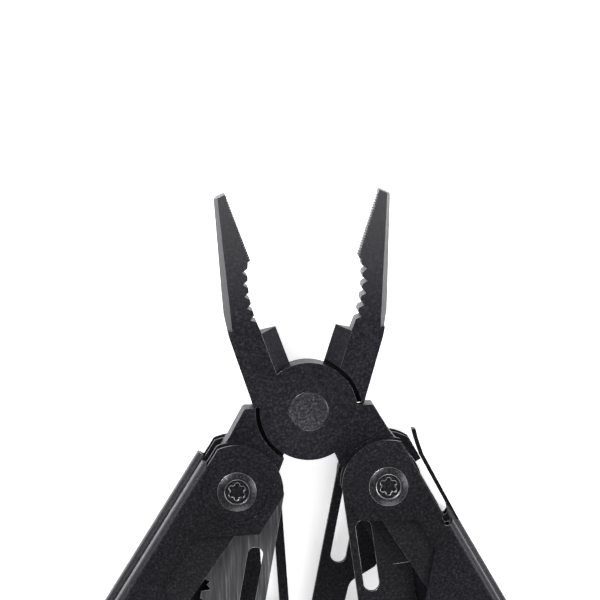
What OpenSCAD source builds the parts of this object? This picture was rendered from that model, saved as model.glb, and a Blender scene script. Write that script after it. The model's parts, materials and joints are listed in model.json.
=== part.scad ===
// Folding multi tool with needle-nose pliers, four outer blades and five inner tools.
// X runs across the tool, Y towards the jaw tips, Z up out of the face that it lies on.
// Everything is drawn about the head rivet and then moved, so that the origin is bottom centre.

/* [Head] */
// Length of a jaw from the rivet to its tip
jaw_len = 41.6; // [40:0.2:44]
// Angle of each jaw from the closed line, at rest
jaw_open = 19.15; // [12:0.05:19.15]
// Radius of the round boss of the lap joint
boss_r = 8.75; // [8.5:0.05:8.9]
// Radius of the head rivet
rivet_r = 3.55; // [3:0.05:4]
// Distance across from the rivet to a handle pivot
pivot_x = 13.5; // [13.5:0.1:14]
// Distance down from the rivet to a handle pivot
pivot_y = 13.2; // [12.8:0.1:13.6]

/* [Handles] */
// Angle of the left and right handle from straight down, at rest
handle_angle = [33.5, 28.5]; // [25:0.5:34]
// Distance between a handle's two pivots
span = 84; // [80:1:90]
// Radius of the round ends of a handle
end_r = 8.3; // [7.8:0.1:8.3]
// Distance from the pivot line to a handle's blade-side edge
edge_n = 7.4; // [7:0.1:7.6]
// Distance from the pivot line to the outer palm fold, left and right, front
palm_front = [7.9, 6.9]; // [6.5:0.1:8.2]
// Distance from the pivot line to the outer palm fold, left and right, back
palm_back = [8.2, 7.8]; // [6.5:0.1:8.2]
// Thickness of the folded sheet
sheet = 0.9; // [0.8:0.05:1]

/* [Blades] */
// Swing of the saw, file, knife and serrated blade from closed, at rest
fan = [22, 36, 22, 41]; // [0:1:45]
// Thickness of a front blade
front_blade = 1.3; // [1.2:0.05:1.3]
// Thickness of a back blade
back_blade = 1.4; // [1.2:0.05:1.4]
// Thickness of an inner tool
tool_t = 2.2; // [1.8:0.1:2.2]

/* [Hidden] */
$fn = 48;
play = 0.1; // space between flat faces that slide
fit = 0.05; // radial space of a running fit
post_r = 2.5;
screw_r = 3.5;
shank_r = 1.5;
recess_r = 2.2;
channel = 7; // centre channel, which holds the head
head_t = channel - 2 * play;
liner_t = 0.85;

// heights of the sheets and of the levels between them
back_bay = 2 * back_blade + 3 * play;
front_bay = 2 * front_blade + liner_t + 4.5 * play;
z_back_wall = sheet + back_bay;
z_channel = z_back_wall + sheet;
z_front_wall = z_channel + channel;
z_front_bay = z_front_wall + sheet;
z_top_wall = z_front_bay + front_bay;
z_top = z_top_wall + sheet;
z_mid = z_channel + channel / 2;
z_file = sheet + play;
z_serrated = z_file + back_blade + play;
z_knife = z_front_bay + play;
z_saw = z_knife + front_blade + play;
z_liner = z_top_wall - play - liner_t;
screw_proud = 0.45;

// the lowest and highest points along Y place the origin, and the tail ends place it along X
lanyard_u = 10.7; // past the tail pivot
lanyard_r = 3.6;
reach = span + lanyard_u;
y_high = jaw_len * cos(jaw_open);
y_low = -pivot_y - reach * cos(handle_angle[1]) - lanyard_r;
shift_y = -(y_high + y_low) / 2;
shift_x = span / 2 * (sin(handle_angle[0]) - sin(handle_angle[1]));

// ---- outlines with round corners ----

function unit(v) = v / norm(v);
// points of a fillet of radius r at corner b, between a and c
function fillet(a, b, c, r, steps = 6) =
    let (u = unit(a - b), v = unit(c - b), half = acos(u * v) / 2)
    let (m = b + unit(u + v) * r / sin(half), p = b + u * r / tan(half), q = b + v * r / tan(half))
    let (start = atan2(p.y - m.y, p.x - m.x), end = atan2(q.y - m.y, q.x - m.x))
    let (sweep = (end - start + 540) % 360 - 180)
    [for (i = [0:steps]) m + r * [cos(start + sweep * i / steps), sin(start + sweep * i / steps)]];
// an outline of [x, y, corner radius] rows
function rounded(rows) =
    let (n = len(rows), at = [for (row = rows) [row.x, row.y]])
    [for (i = [0:n - 1]) each
        (rows[i].z == 0 ? [at[i]] : fillet(at[(i + n - 1) % n], at[i], at[(i + 1) % n], rows[i].z))];

// ---- places ----

module rest() translate([shift_x, shift_y, 0]) children();
// the handle's own frame has its pivot at 0, its length along -Y and its palm towards +X
module right() rest() translate([pivot_x, -pivot_y, 0]) rotate(handle_angle[1]) children();
module left() rest() mirror([1, 0, 0]) translate([pivot_x, -pivot_y, 0]) rotate(handle_angle[0])
    children();
module tail() translate([0, -span, 0]) children();
module bore(r, at = [0, 0]) translate([at.x, at.y, -1]) cylinder(r = r, h = z_top + 2);
module ring(outer, inner, from, to) translate([0, 0, from]) difference() {
    cylinder(r = outer, h = to - from);
    translate([0, 0, -1]) cylinder(r = inner, h = to - from + 2);
}
// a bar of triangular section that cuts a bevel: w wide and h deep, along the left of a to b
module bevel_cut(a, b, w, h, past = 0.5) {
    d = b - a;
    translate([a.x, a.y, 0]) rotate(atan2(d.y, d.x)) translate([-past, 0, 0]) rotate([90, 0, 90])
        linear_extrude(norm(d) + 2 * past)
        polygon([[w, 0.01], [w, 1], [-1, 1], [-1, -h * (1 + 1 / w)]]);
}

// ---- head: two jaws in a half lap ----

jaw_gap = 0.1; // each jaw's distance from the closed line
lap_r = boss_r + 0.8;
grip_at = [20.9, 18.5]; // centre of the round grip
grip_r = 23.9;
grip_end = 16.1;
coarse_from = 178.8; // angle of the lowest coarse notch about the grip's centre
coarse_step = -5.03;
coarse_depth = 0.9;
coarse_half = 1.05; // half of the width of a notch
cutter_end = 7.5;
fine_from = 28.9;
fine_pitch = 0.48;
fine_depth = 0.3;
jaw_back = [-8.45, 19.1];
jaw_tip = [-2.3, jaw_len - 0.2];
taper_from = 20;
taper_depth = 1.1;

module jaw_outline() {
    difference() {
        polygon(rounded([
            [-jaw_gap, jaw_len, 0.3], [jaw_tip.x, jaw_tip.y, 0.25], [-8, 21.6, 8],
            [-8.6, 17, 6], [-8.95, 4.2, 0], [-8.3, 3.9, 0], [-5, 3, 0], [-jaw_gap, 0, 0]
        ]));
        intersection() {
            translate(grip_at) circle(r = grip_r, $fn = 96);
            translate([-10, grip_end]) square([12, fine_from - grip_end]);
        }
        for (i = [0:4]) translate(grip_at) rotate(coarse_from + i * coarse_step)
            translate([grip_r, 0]) polygon([[-0.5, -coarse_half], [coarse_depth, 0], [-0.5, coarse_half]]);
        for (y = [fine_from:fine_pitch:jaw_len - 1]) translate([-jaw_gap, y])
            polygon([[-fine_depth, 0], [0.2, -fine_pitch * 0.6], [0.2, fine_pitch * 0.6]]);
    }
}

// the left jaw on the closed line, centred in height
module jaw_body() {
    difference() {
        translate([0, 0, -head_t / 2]) linear_extrude(head_t) jaw_outline();
        for (s = [0, 1]) mirror([0, 0, s]) translate([0, 0, head_t / 2]) {
            bevel_cut(jaw_tip, jaw_back, 0.95, 2.8);
            // the cutter's bevel
            translate([0, grip_end, 0]) rotate([90, 0, 0]) linear_extrude(grip_end - cutter_end)
                polygon([[-3, 0.01], [-3, 1], [1, 1], [1, -head_t / 2 - 0.9], [-0.1, -head_t / 2 + 0.15]]);
            // the jaw grows thinner to its tip
            translate([-10, 0, 0]) rotate([90, 0, 90]) linear_extrude(12)
                polygon([[taper_from, 0.01], [taper_from, 1], [jaw_len + 1, 1], [jaw_len + 1, -taper_depth]]);
        }
    }
}

tang_r = 6.3;

module tang_outline() {
    polygon(rounded([
        [4.5, -7.9, 0], [5.7, -10.8, 1], [pivot_x - 6.1, -pivot_y + 1.3, 0], [pivot_x, -pivot_y, 0],
        [pivot_x + 5.6, -pivot_y + 1, 0], [pivot_x + 4, -pivot_y + 4.9, 0], [14.3, -4, 3],
        [11.5, 0.85, 0.5], [9, 0.86, 0], [0, 0, 0]
    ]));
    translate([pivot_x, -pivot_y]) circle(r = tang_r);
}

// s is 1 for the jaw whose boss is in front, and -1 for the other
module head_half(s) {
    half = head_t / 2 - play / 2;
    translate([0, 0, z_mid]) difference() {
        union() {
            difference() {
                union() {
                    rotate(jaw_open) jaw_body();
                    translate([0, 0, -head_t / 2]) linear_extrude(head_t) tang_outline();
                }
                translate([0, 0, s > 0 ? -head_t : -play / 2])
                    cylinder(r = lap_r, h = head_t + play / 2);
            }
            translate([0, 0, s > 0 ? play / 2 : -head_t / 2]) cylinder(r = boss_r, h = half, $fn = 96);
        }
        translate([0, 0, -head_t]) cylinder(r = rivet_r + fit, h = 2 * head_t);
        translate([pivot_x, -pivot_y, -head_t]) cylinder(r = post_r + fit, h = 2 * head_t);
    }
}
module front_jaw() {
    color("dimgray") rest() head_half(1);
}
module back_jaw() {
    color("dimgray") rest() mirror([1, 0, 0]) head_half(-1);
}
module head_rivet() {
    color("gray") rest() translate([0, 0, z_mid - head_t / 2]) cylinder(r = rivet_r, h = head_t + 0.05);
}

// ---- handle frames: one sheet folded to an M ----

bend_r = 1.4;
lip_n = [6.9, 5.95]; // edge of the walls where the palm fold is cut away, left and right
lip_u = [-1.25, 10.5]; // the palm fold starts here, left and right
spine_u = 7;
spine_end = span + 2;
notch_r = 1.05;
boss_plate_r = 7.9; // the left walls keep this much round the pivot
leaf_t = 0.7;
leaf_n = 8.2;
back_end_n = 7.4; // the right back walls keep their round end to here

// a bar from the blade side to the palm, with round palm corners
module round_bar(from, palm, low, high, r) {
    translate([from, low]) square([palm - r - from, high - low]);
    translate([from, low + r]) square([palm - from, high - low - 2 * r]);
    for (z = [low + r, high - r]) translate([palm - r, z]) circle(r = r, $fn = 32);
}
module bay_section(palm, low, high) {
    difference() {
        round_bar(-edge_n - 1, palm, low, high, bend_r);
        round_bar(-edge_n - 2, palm - sheet, low + sheet, high - sheet, bend_r - sheet);
    }
}
module along_handle() {
    translate([0, end_r + 1, 0]) rotate([90, 0, 0]) linear_extrude(span + 2 * end_r + 2) children();
}
module plan(side) {
    palm = max(palm_front[side], palm_back[side]) + 1;
    intersection() {
        union() {
            circle(r = end_r, $fn = 96);
            translate([-end_r, -span]) square([2 * end_r, span]);
            translate([0, -span]) circle(r = end_r, $fn = 96);
        }
        union() {
            translate([-edge_n, -span - end_r]) square([edge_n + palm, span + end_r - lip_u[side]]);
            translate([-edge_n, -span]) square([edge_n + lip_n[side], span + end_r]);
        }
    }
}
// the notch in the outer walls where the blades are reached, which is open to the blade side
windows = [
    [[-9, -3.4, 0], [2.5, -11, 1.5], [2.8, -21, 1.4], [-9, -32.5, 0]],
    [[-9, -1.85, 0], [1.5, -7.85, 1.5], [1.6, -14, 1], [-9, -26, 0]]
];
module handle_frame(side) {
    difference() {
        union() {
            intersection() {
                union() {
                    along_handle() bay_section(palm_back[side], 0, z_channel);
                    along_handle() bay_section(palm_front[side], z_front_wall, z_top);
                }
                translate([0, 0, -1]) linear_extrude(z_top + 2) plan(side);
            }
            if (lip_u[side] > 0) for (z = [0, z_back_wall]) translate([0, 0, z])
                linear_extrude(sheet) intersection() {
                    circle(r = end_r, $fn = 96);
                    translate([0, -0.5]) square([back_end_n, end_r + 1]);
                }
            translate([-edge_n, -spine_end, z_channel - 0.1])
                cube([sheet, spine_end - spine_u, channel + 0.2]);
        }
        for (at = [[0, 0], [0, -span]]) {
            bore(post_r + 0.02, at);
            translate([at.x, at.y, -1]) cylinder(r = screw_r + 0.02, h = 1 + sheet);
            translate([at.x, at.y, z_top_wall]) cylinder(r = screw_r + 0.02, h = 2);
        }
        for (z = [-1, z_top_wall - 0.3]) translate([0, 0, z]) linear_extrude(sheet + 1.2) difference() {
            polygon(rounded(windows[side]));
            if (side == 0) circle(r = boss_plate_r, $fn = 96);
        }
        if (lip_u[side] > 0) bore(notch_r, [lip_n[side] + 0.05, -lip_u[side]]);
    }
}
module frame_ring() {
    ring(6.2, 5.5, z_top, z_top + 0.2);
}
// the leaf that is cut free from the right palm fold, and ends in a hook
module frame_leaf() {
    n = leaf_n;
    translate([0, 0, sheet + 0.5]) linear_extrude(z_channel - sheet - 1)
        polygon(rounded([
            [palm_back[1], -lip_u[1] - 3, 0], [n, 0, 3], [n + 0.6, 3, 2], [n + 1.1, 4.6, 0.3],
            [n + 0.4, 4.9, 0.2], [n - 0.1, 3, 2], [n - leaf_t, 0, 3],
            [palm_back[1] - leaf_t, -lip_u[1] - 3, 0]
        ]));
}
module handle_frame_left() {
    color("#2a2a2c") left() {
        handle_frame(0);
        frame_ring();
    }
}
module handle_frame_right() {
    color("#2a2a2c") right() {
        handle_frame(1);
        frame_leaf();
    }
}

module liner_lock(palm) {
    difference() {
        translate([0, 0, z_liner]) linear_extrude(liner_t) {
            circle(r = 5.6);
            polygon(rounded([
                [-4.1, 0, 0], [-3.9, -8, 2], [-3, -24, 6], [-3, -52, 1.5], [palm, -52, 1], [palm, 0, 0]
            ]));
        }
        bore(post_r + 0.02);
        bore(1.2, [1.4, -46]);
    }
}
module liner_lock_left() {
    color("#3a3a3c") left() liner_lock(5.6);
}
module liner_lock_right() {
    color("#3a3a3c") right() liner_lock(5.4);
}

// ---- outer blades: spine towards -X, length along -Y from the pivot ----

slot_n = -5.3;
slot_w = 2.8;

module thumb_slot(from, to) {
    for (u = [from, to]) translate([slot_n, -u]) circle(r = slot_w / 2);
    translate([slot_n - slot_w / 2, -to]) square([slot_w, to - from]);
}
module blade(rows, t, slot) {
    difference() {
        linear_extrude(t) difference() {
            union() {
                circle(r = 5.6);
                polygon(rounded(rows));
            }
            thumb_slot(slot[0], slot[1]);
            children();
        }
        translate([0, 0, -1]) cylinder(r = post_r + fit, h = t + 2);
    }
}
// both faces ground down between two points, to an edge twice left_over thick
module ground(a, b, w, t, left_over) {
    difference() {
        children();
        translate([0, 0, t]) bevel_cut(a, b, w, t / 2 - left_over);
        mirror([0, 0, 1]) bevel_cut(a, b, w, t / 2 - left_over);
    }
}
module saw_blade() {
    color("#5a5a5e") left() rotate(-fan[0]) translate([0, 0, z_saw])
        blade([
            [-8.5, 1.5, 1], [-8.5, -60, 4], [-4, -69, 1], [2.9, -69, 1], [3.2, -12, 3], [5.4, -3, 0], [0, 3, 0]
        ], front_blade, [10.9, 25])
        for (u = [16.6:3.7:64]) translate([0, -u])
            polygon([[4.5, 0.6], [1.9, -0.3], [2.4, -0.9], [1.5, -1.7], [4.5, -2.6]]);
}
module file_blade() {
    color("#3a3a3c") left() rotate(-fan[1]) translate([0, 0, z_file])
        blade([
            [-8.4, 3, 1], [-8.4, -50, 3], [-3, -64, 1], [2.6, -64, 1], [2.6, -12, 3], [5.4, -3, 0], [0, 4, 0]
        ], back_blade, [9, 24]);
}
module knife_blade() {
    color("#303032") right() rotate(-fan[2]) translate([0, 0, z_knife])
        ground([2.3, -60], [2.3, -15], 3.6, front_blade, 0.15)
        ground([-8.1, 0], [-8.1, -44], 1.1, front_blade, 0.35)
        blade([
            [-8.1, 1.5, 1], [-8.1, -44, 20], [-1.6, -70, 0.4], [2.3, -60, 12], [2.3, -14, 2],
            [5.4, -3, 0], [0, 3, 0]
        ], front_blade, [7.2, 17.3]);
}
module serrated_blade() {
    color("#303032") right() rotate(-fan[3]) translate([0, 0, z_serrated])
        blade([
            [-8.4, 3, 1], [-8.4, -42, 6], [-1, -65, 0.6], [2.2, -62, 2], [2.2, -27, 1], [-2.6, -24.6, 2],
            [-2.4, -20, 2.5], [1.6, -16.4, 1], [5, -6, 0], [0, 4, 0]
        ], back_blade, [4.5, 15.5])
        for (u = [30:2.6:58]) translate([2.9, -u]) circle(r = 1.25, $fn = 24);
}

// ---- what the blades turn on ----

module blade_spacer_front_left() {
    color("silver") left() ring(4, post_r + 0.02, z_front_bay, z_saw - play);
}
module blade_spacer_back_left() {
    color("silver") left() ring(4, post_r + 0.02, z_serrated, z_back_wall);
}
module blade_spacer_front_right() {
    color("silver") right() ring(4, post_r + 0.02, z_saw, z_liner);
}
module blade_spacer_back_right() {
    color("silver") right() ring(4, post_r + 0.02, sheet, z_serrated - play);
}
module post() {
    difference() {
        union() {
            cylinder(r = screw_r, h = sheet);
            cylinder(r = post_r, h = z_top_wall);
        }
        translate([0, 0, z_mid]) cylinder(r = shank_r + 0.02, h = z_top);
        // a plain slot holds the post while its screw turns
        translate([-2, -0.4, -1]) cube([4, 0.8, 1.5]);
    }
}
module screw() {
    difference() {
        union() {
            translate([0, 0, z_top_wall]) cylinder(r = screw_r, h = sheet);
            translate([0, 0, z_top]) cylinder(r1 = screw_r, r2 = recess_r + 0.15, h = screw_proud);
            translate([0, 0, z_mid + 1]) cylinder(r = shank_r, h = z_top_wall - z_mid);
        }
        translate([0, 0, z_top - 0.15]) cylinder(r = recess_r, h = 1);
        translate([0, 0, z_top - 0.75]) {
            for (a = [0:60:300]) rotate(a) translate([1.15, 0, 0]) cylinder(r = 0.45, h = 2, $fn = 24);
            cylinder(r = 1.2, h = 2);
        }
    }
}
module head_post_left() {
    color("#444446") left() post();
}
module head_post_right() {
    color("#444446") right() post();
}
module head_screw_left() {
    color("#505052") left() screw();
}
module head_screw_right() {
    color("#505052") right() screw();
}
module tail_post_left() {
    color("#444446") left() tail() post();
}
module tail_post_right() {
    color("#444446") right() tail() post();
}
module tail_screw_left() {
    color("#505052") left() tail() screw();
}
module tail_screw_right() {
    color("#505052") right() tail() screw();
}
module tail_spacer_front() {
    tail() ring(4.5, post_r + 0.02, z_front_bay, z_top_wall);
}
module tail_spacer_back() {
    tail() ring(4.5, post_r + 0.02, sheet, z_back_wall);
}
module tail_spacer_front_left() {
    color("silver") left() tail_spacer_front();
}
module tail_spacer_back_left() {
    color("silver") left() tail_spacer_back();
}
module tail_spacer_front_right() {
    color("silver") right() tail_spacer_front();
}
module tail_spacer_back_right() {
    color("silver") right() tail_spacer_back();
}

// ---- inner tools: in the centre channel, from the tail pivot towards the head ----

module tool(rows, level) {
    tail() translate([0, 0, z_channel + play + level * (tool_t + play)]) difference() {
        linear_extrude(tool_t) difference() {
            union() {
                circle(r = 5.6);
                polygon(rounded(rows));
            }
            children();
        }
        translate([0, 0, -1]) cylinder(r = post_r + fit, h = tool_t + 2);
    }
}
module flat_driver() {
    color("#48484a") left() tool([
        [4.2, -1, 0], [4, 8, 6], [-1.2, 22, 8], [-1.2, 40, 1], [-1.7, 46, 0], [-5.7, 46, 0],
        [-6.2, 40, 1], [-6.2, 8, 3], [-4.2, -1, 0]
    ], 0);
}
module cross_driver() {
    color("#48484a") left() tool([
        [4.2, -1, 0], [4, 8, 6], [-1.4, 22, 8], [-1.4, 38, 1], [-3.3, 43, 0], [-3.9, 43, 0],
        [-5.8, 38, 1], [-5.8, 8, 3], [-4.2, -1, 0]
    ], 1);
}
module can_opener() {
    color("#48484a") left() tool([
        [4.2, -1, 0], [3.5, 12, 6], [2, 26, 2], [1.5, 33, 0.5], [-4, 32, 2], [-6, 22, 4],
        [-6, 8, 3], [-4.2, -1, 0]
    ], 2) translate([-0.6, 27.4]) circle(r = 1.9);
}
module bottle_opener() {
    color("#48484a") right() tool([
        [4.2, -1, 0], [4.4, 12, 6], [3, 28, 2], [1.6, 34, 1], [-3, 34, 2], [-6.2, 29, 3],
        [-6.2, 8, 3], [-4.2, -1, 0]
    ], 0) {
        translate([-0.8, 26]) circle(r = 2.6);
        translate([-0.8, 23.4]) square([8, 5.2]);
    }
}
module small_driver() {
    color("#48484a") right() tool([
        [4.2, -1, 0], [4, 8, 6], [-1.6, 20, 6], [-2, 30, 1], [-2.4, 42, 0], [-4.8, 42, 0],
        [-5.2, 30, 1], [-5.6, 8, 3], [-4.2, -1, 0]
    ], 2);
}
module lanyard_plate() {
    color("#48484a") right() difference() {
        tool([[-4.6, -3, 0], [-lanyard_r, -lanyard_u, 0], [lanyard_r, -lanyard_u, 0], [4.6, -3, 0]], 1);
        bore(1.8, [0, -reach]);
    }
    color("#48484a") right() translate([0, -reach, z_channel + 2 * play + tool_t])
        ring(lanyard_r, 1.8, 0, tool_t);
}

front_jaw();
back_jaw();
head_rivet();
handle_frame_left();
handle_frame_right();
liner_lock_left();
liner_lock_right();
saw_blade();
file_blade();
knife_blade();
serrated_blade();
blade_spacer_front_left();
blade_spacer_back_left();
blade_spacer_front_right();
blade_spacer_back_right();
head_post_left();
head_post_right();
head_screw_left();
head_screw_right();
tail_post_left();
tail_post_right();
tail_screw_left();
tail_screw_right();
tail_spacer_front_left();
tail_spacer_back_left();
tail_spacer_front_right();
tail_spacer_back_right();
flat_driver();
cross_driver();
can_opener();
bottle_opener();
small_driver();
lanyard_plate();
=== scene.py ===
"""The looks of a folding multi tool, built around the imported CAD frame."""

import json
import math

import bmesh
import bpy
from mathutils import Matrix, Vector


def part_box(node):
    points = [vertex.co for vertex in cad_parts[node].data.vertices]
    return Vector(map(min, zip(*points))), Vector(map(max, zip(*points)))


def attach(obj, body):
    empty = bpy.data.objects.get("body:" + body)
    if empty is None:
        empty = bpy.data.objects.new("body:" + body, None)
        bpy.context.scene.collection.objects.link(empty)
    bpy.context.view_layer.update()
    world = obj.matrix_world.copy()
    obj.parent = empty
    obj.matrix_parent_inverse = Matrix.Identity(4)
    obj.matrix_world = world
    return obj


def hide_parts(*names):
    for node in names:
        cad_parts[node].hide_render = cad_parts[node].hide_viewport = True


MM = 0.001

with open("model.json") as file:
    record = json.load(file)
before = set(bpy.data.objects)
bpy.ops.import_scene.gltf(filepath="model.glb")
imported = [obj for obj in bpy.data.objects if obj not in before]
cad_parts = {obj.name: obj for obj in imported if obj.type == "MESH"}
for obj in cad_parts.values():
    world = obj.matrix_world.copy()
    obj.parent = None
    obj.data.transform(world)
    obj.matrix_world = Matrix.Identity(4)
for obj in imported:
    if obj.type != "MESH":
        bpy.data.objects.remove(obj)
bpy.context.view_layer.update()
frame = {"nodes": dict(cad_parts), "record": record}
scene = bpy.context.scene
slots = {row["node"]: row["material_slot"] for row in frame["record"]["subparts"]}
body_of = {n: body for body, nodes in frame["record"]["behaviour"]["bodies"].items() for n in nodes}


# ---- camera, lights and floor ----

TILT_UP = 6.5  # degrees that the camera stands towards the jaw tips
TILT_LEFT = 2.9
ROLL = 1.65
DISTANCE = 1.2
VIEW_WIDTH = 107 * MM
RIVET_RIGHT = 1.6 * MM  # the rivet's place, from the middle of the view
RIVET_DOWN = 19.9 * MM


def place_camera():
    low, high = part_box("head_rivet")
    rivet = Vector(((low.x + high.x) / 2, (low.y + high.y) / 2, high.z))
    back = Vector((-math.sin(math.radians(TILT_LEFT)), math.sin(math.radians(TILT_UP)), 1)).normalized()
    roll = math.radians(ROLL)
    up = Vector((math.sin(roll), math.cos(roll), 0))
    up = (up - back * up.dot(back)).normalized()
    side = up.cross(back)
    target = rivet - side * RIVET_RIGHT + up * RIVET_DOWN
    data = bpy.data.cameras.new("camera")
    data.sensor_width = 36
    data.lens = data.sensor_width * DISTANCE / VIEW_WIDTH
    data.clip_start = 0.05
    camera = bpy.data.objects.new("camera", data)
    scene.collection.objects.link(camera)
    camera.location = target + back * DISTANCE
    camera.rotation_mode = "QUATERNION"
    camera.matrix_world = Matrix((
        (side.x, up.x, back.x, camera.location.x),
        (side.y, up.y, back.y, camera.location.y),
        (side.z, up.z, back.z, camera.location.z),
        (0, 0, 0, 1),
    ))
    scene.camera = camera


def soft_light(name, place, target, size, power):
    data = bpy.data.lights.new(name, "AREA")
    data.shape = "DISK"
    data.size = size
    data.energy = power
    light = bpy.data.objects.new(name, data)
    scene.collection.objects.link(light)
    light.location = place
    light.rotation_euler = (Vector(target) - Vector(place)).to_track_quat("-Z", "Y").to_euler()


def light_scene():
    soft_light("key", (-0.5, 0.6, 0.55), (0, 0, 0), 0.45, 10)
    soft_light("fill", (0.65, 0.1, 0.5), (0, 0, 0), 0.45, 5)
    soft_light("low", (0.1, -0.65, 0.45), (0, 0, 0), 0.5, 4)
    world = bpy.data.worlds.new("studio")
    scene.world = world
    world.use_nodes = True
    nodes, links = world.node_tree.nodes, world.node_tree.links
    where = nodes.new("ShaderNodeTexCoord")
    split = nodes.new("ShaderNodeSeparateXYZ")
    ramp = nodes.new("ShaderNodeValToRGB")
    ramp.color_ramp.elements[0].position = 0.1
    ramp.color_ramp.elements[0].color = (1, 1, 1, 1)
    ramp.color_ramp.elements[1].position = 0.93
    ramp.color_ramp.elements[1].color = (0.2, 0.2, 0.21, 1)
    links.new(where.outputs["Generated"], split.inputs[0])
    links.new(split.outputs["Z"], ramp.inputs[0])
    links.new(ramp.outputs[0], nodes["Background"].inputs["Color"])
    nodes["Background"].inputs["Strength"].default_value = 1.3
    scene.view_settings.view_transform = "Standard"


def floor():
    mesh = bpy.data.meshes.new("floor")
    side = 4
    mesh.from_pydata([(-side, -side, 0), (side, -side, 0), (side, side, 0), (-side, side, 0)], [], [(0, 1, 2, 3)])
    obj = bpy.data.objects.new("floor", mesh)
    obj.location.z = -0.0002
    scene.collection.objects.link(obj)
    material = bpy.data.materials.new("floor")
    material.use_nodes = True
    shader = material.node_tree.nodes["Principled BSDF"]
    shader.inputs["Base Color"].default_value = (0.97, 0.97, 0.97, 1)
    shader.inputs["Roughness"].default_value = 0.9
    shader.inputs["Emission Color"].default_value = (1, 1, 1, 1)
    shader.inputs["Emission Strength"].default_value = 0.6
    mesh.materials.append(material)


# ---- materials ----


class Nodes:
    """A material's node tree, with short calls for the nodes that these steels use."""

    def __init__(self, name, metallic, roughness):
        self.material = bpy.data.materials.new(name)
        self.material.use_nodes = True
        self.tree = self.material.node_tree
        self.shader = self.tree.nodes["Principled BSDF"]
        self.shader.inputs["Metallic"].default_value = metallic
        self.shader.inputs["Roughness"].default_value = roughness
        self.where = self.tree.nodes.new("ShaderNodeTexCoord").outputs["Object"]

    def link(self, a, b):
        self.tree.links.new(a, b)

    def noise(self, scale, detail=3, stretch=None):
        node = self.tree.nodes.new("ShaderNodeTexNoise")
        node.inputs["Scale"].default_value = scale
        node.inputs["Detail"].default_value = detail
        where = self.where
        if stretch:
            turn = self.tree.nodes.new("ShaderNodeMapping")
            turn.inputs["Rotation"].default_value[2] = math.radians(stretch[1])
            turn.inputs["Scale"].default_value = stretch[0]
            self.link(where, turn.inputs["Vector"])
            where = turn.outputs["Vector"]
        self.link(where, node.inputs["Vector"])
        return node.outputs["Fac"]

    def ramp(self, value, stops):
        node = self.tree.nodes.new("ShaderNodeValToRGB")
        node.color_ramp.elements[0].position = stops[0][0]
        node.color_ramp.elements[1].position = stops[-1][0]
        for place, _ in stops[1:-1]:
            node.color_ramp.elements.new(place)
        for element, (_, level) in zip(node.color_ramp.elements, stops):
            level = level if isinstance(level, tuple) else (level,) * 3
            element.color = (*level, 1)
        self.link(value, node.inputs["Fac"])
        return node.outputs["Color"]

    def add(self, a, b, share):
        node = self.tree.nodes.new("ShaderNodeMix")
        node.inputs["Factor"].default_value = share
        self.link(a, node.inputs["A"])
        self.link(b, node.inputs["B"])
        return node.outputs["Result"]

    # Painted sheen: the colour goes over to a paler one along Y, between start and end.
    def painted_sheen_along_y(self, colour, start, end, paler):
        split = self.tree.nodes.new("ShaderNodeSeparateXYZ")
        self.link(self.where, split.inputs[0])
        along = self.tree.nodes.new("ShaderNodeMapRange")
        along.inputs["From Min"].default_value = start
        along.inputs["From Max"].default_value = end
        self.link(split.outputs["Y"], along.inputs["Value"])
        mix = self.tree.nodes.new("ShaderNodeMix")
        mix.data_type = "RGBA"
        mix.inputs[7].default_value = (*paler, 1)
        self.link(along.outputs["Result"], mix.inputs[0])
        self.link(colour, mix.inputs[6])
        return mix.outputs[2]

    def bump(self, height, strength, distance):
        node = self.tree.nodes.new("ShaderNodeBump")
        node.inputs["Strength"].default_value = strength
        node.inputs["Distance"].default_value = distance
        self.link(height, node.inputs["Height"])
        self.link(node.outputs["Normal"], self.shader.inputs["Normal"])


def steel(name, dark, light, metallic=0.75, rough=(0.34, 0.5), grain=2600, bump=0.35, stretch=None, painted_sheen_along_y=None):
    """Blasted and blackened steel: a fine speckle, faint clouds, and roughness that follows both.
    The last argument is (from, to, colour): a painted sheen, where the finish goes over to that paler colour
    between two places along Y."""
    m = Nodes(name, metallic, rough[0])
    cloud = m.noise(55, 3)
    speck = m.noise(grain, 2, stretch)
    mixed = m.add(speck, cloud, 0.22)
    colour = m.ramp(mixed, [(0.36, dark), (0.56, light), (0.7, tuple(2.2 * c for c in light))])
    if painted_sheen_along_y:
        # Painted sheen: paler towards the far end along Y.
        colour = m.painted_sheen_along_y(colour, *painted_sheen_along_y)
    m.link(colour, m.shader.inputs["Base Color"])
    m.link(m.ramp(mixed, [(0.35, rough[0]), (0.65, rough[1])]), m.shader.inputs["Roughness"])
    m.bump(speck, bump, 0.05 * MM)
    return m.material


def edge_wear_and_highlight_steel(name, dark, light):
    """Edges where the black finish is rubbed thin, made paler than the body as a painted highlight that draws
    bright rim lines.
    """
    m = Nodes(name, 0.9, 0.3)
    patch = m.noise(420, 4)
    m.link(m.ramp(patch, [(0.38, dark), (0.62, light)]), m.shader.inputs["Base Color"])
    m.link(m.ramp(m.noise(1500, 2), [(0.35, 0.26), (0.65, 0.42)]), m.shader.inputs["Roughness"])
    return m.material


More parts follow.
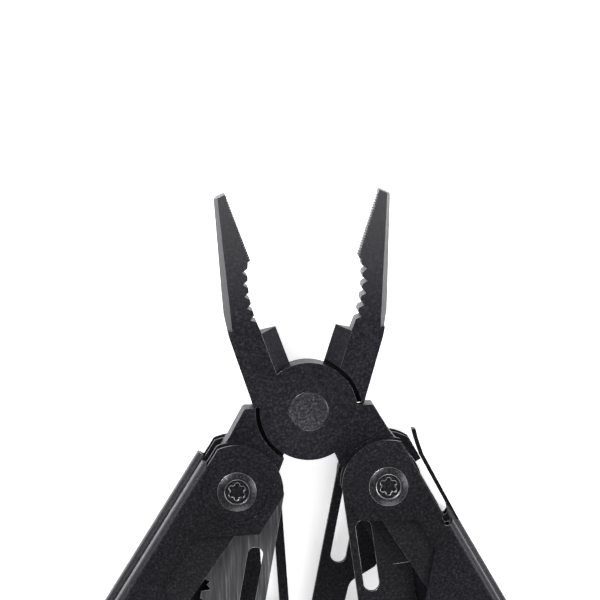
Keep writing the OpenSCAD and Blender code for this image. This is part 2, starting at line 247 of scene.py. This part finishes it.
SLOT_STEEL = {
    # head_steel carries a painted sheen, paler towards the jaw tips, from 45 to 74 mm along Y.
    "head_steel": dict(dark=(0.007, 0.007, 0.01), light=(0.016, 0.016, 0.021), rough=(0.4, 0.52),
                       painted_sheen_along_y=(45 * MM, 74 * MM, (0.075, 0.075, 0.079))),
    "rivet_steel": dict(dark=(0.014, 0.014, 0.017), light=(0.042, 0.042, 0.047), rough=(0.42, 0.54)),
    "frame_steel": dict(dark=(0.006, 0.006, 0.008), light=(0.014, 0.014, 0.017), rough=(0.38, 0.5)),
    "blade_grey": dict(dark=(0.055, 0.055, 0.058), light=(0.085, 0.085, 0.088), rough=(0.36, 0.46),
                       stretch=((1, 0.05, 1), 12)),
    "blade_black": dict(dark=(0.006, 0.006, 0.008), light=(0.014, 0.014, 0.016), rough=(0.38, 0.5)),
    "screw_steel": dict(dark=(0.012, 0.012, 0.014), light=(0.026, 0.026, 0.029), rough=(0.3, 0.4)),
    "liner_steel": dict(dark=(0.01, 0.01, 0.012), light=(0.02, 0.02, 0.023), rough=(0.36, 0.46)),
    "spacer_steel": dict(dark=(0.1, 0.1, 0.104), light=(0.16, 0.16, 0.165), rough=(0.26, 0.36)),
    "tool_steel": dict(dark=(0.012, 0.012, 0.014), light=(0.026, 0.026, 0.029), rough=(0.34, 0.46)),
}
# Edge colours: rubbed-thin finish with a painted highlight, pale so the bevels read as bright rims.
EDGE = {
    "blade_grey": ((0.16, 0.16, 0.165), (0.3, 0.3, 0.31)),
    "spacer_steel": ((0.3, 0.3, 0.31), (0.45, 0.45, 0.46)),
    "screw_steel": ((0.2, 0.2, 0.21), (0.42, 0.42, 0.44)),
    "rivet_steel": ((0.04, 0.04, 0.044), (0.1, 0.1, 0.105)),
}
OTHER_FINISH = {"head_rivet": "rivet_steel"}
# Rubbed-thin finish with a painted highlight, for the edges of every other slot.
PLAIN_EDGE = ((0.07, 0.07, 0.08), (0.26, 0.26, 0.275))
materials = {}


def finish_of(slot):
    if slot not in materials:
        body = steel(slot, **SLOT_STEEL[slot])
        edge = edge_wear_and_highlight_steel(slot + "_edge", *EDGE.get(slot, PLAIN_EDGE))
        materials[slot] = (body, edge)
    return materials[slot]


# ---- detailed meshes ----

FLAT = math.radians(0.5)
SHARP = math.radians(28)
BEVEL = {"head_steel": 0.16, "frame_steel": 0.12, "blade_grey": 0.07, "blade_black": 0.07}
SMALL_BEVEL = 0.08


def detailed(node):
    """A copy of a CAD node with every sharp edge broken, as a deburred or forged piece has."""
    source = frame["nodes"][node]
    mesh = source.data.copy()
    mesh.name = node + "_detail"
    mesh.materials.clear()
    work = bmesh.new()
    work.from_mesh(mesh)
    bmesh.ops.remove_doubles(work, verts=work.verts, dist=0.0005 * MM)
    bmesh.ops.dissolve_limit(work, angle_limit=FLAT, verts=work.verts, edges=work.edges)
    work.to_mesh(mesh)
    work.free()
    obj = bpy.data.objects.new(node + "_detail", mesh)
    scene.collection.objects.link(obj)
    slot = slots[node]
    for material in finish_of(OTHER_FINISH.get(node, slot)):
        mesh.materials.append(material)
    for polygon in mesh.polygons:
        polygon.material_index = 0
    mesh.shade_smooth()
    bevel = obj.modifiers.new("edges", "BEVEL")
    bevel.width = BEVEL.get(slot, SMALL_BEVEL) * MM
    bevel.segments = 2
    bevel.limit_method = "ANGLE"
    bevel.angle_limit = SHARP
    # Bevel faces take the second, paler material: rubbed edges with a painted highlight.
    bevel.material = 1
    bevel.use_clamp_overlap = True
    normals = obj.modifiers.new("flat faces stay flat", "WEIGHTED_NORMAL")
    normals.mode = "FACE_AREA"
    normals.weight = 100
    normals.keep_sharp = True
    bpy.context.view_layer.update()
    baked = bpy.data.meshes.new_from_object(obj.evaluated_get(bpy.context.evaluated_depsgraph_get()))
    obj.modifiers.clear()
    obj.data = baked
    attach(obj, body_of[node])
    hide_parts(node)
    return obj


place_camera()
light_scene()
floor()
for node in sorted(frame["nodes"]):
    detailed(node)
